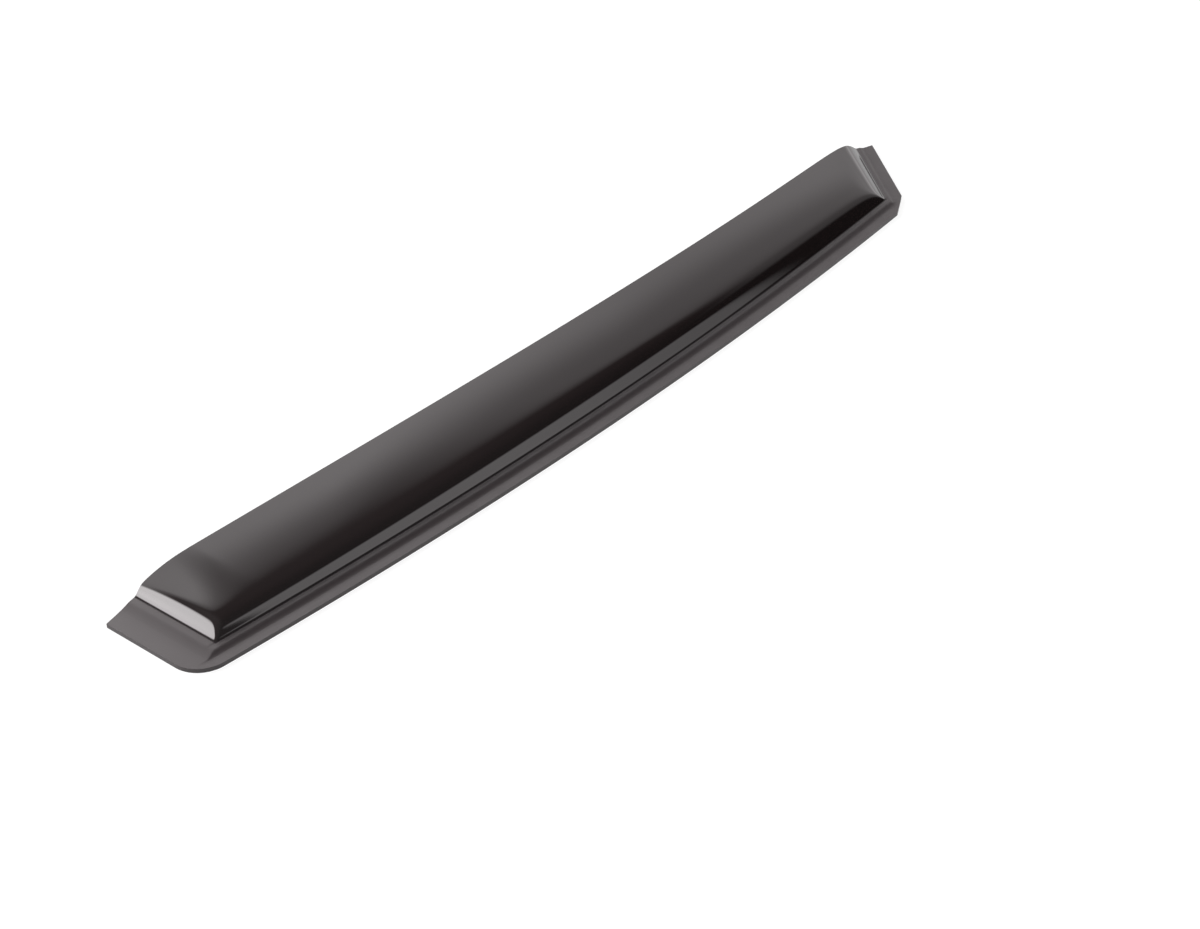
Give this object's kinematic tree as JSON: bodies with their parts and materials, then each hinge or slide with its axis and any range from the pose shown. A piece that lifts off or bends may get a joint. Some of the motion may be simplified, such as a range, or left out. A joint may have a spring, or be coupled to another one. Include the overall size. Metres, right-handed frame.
{
  "type": "window rain deflector",
  "caption": "Formed smoked sheet with a flat C-shaped bonding flange and a raised, crowned face that stands clear of a car's side window along its free edge.",
  "frame": {"origin": "centre of the bounding box on the plane of the bonding face", "axes": "+X along the length from the square near end to the slanted far end, +Y from the bonded edge to the free edge, +Z away from the window"},
  "size_m": [0.779, 0.101, 0.0193],
  "materials": {
    "smoked_sheet": "high gloss dark smoke tint, with a satin bonding flange"
  },
  "bodies": {
    "root": {"deflector_shell": "smoked_sheet"}
  },
  "joints": []
}
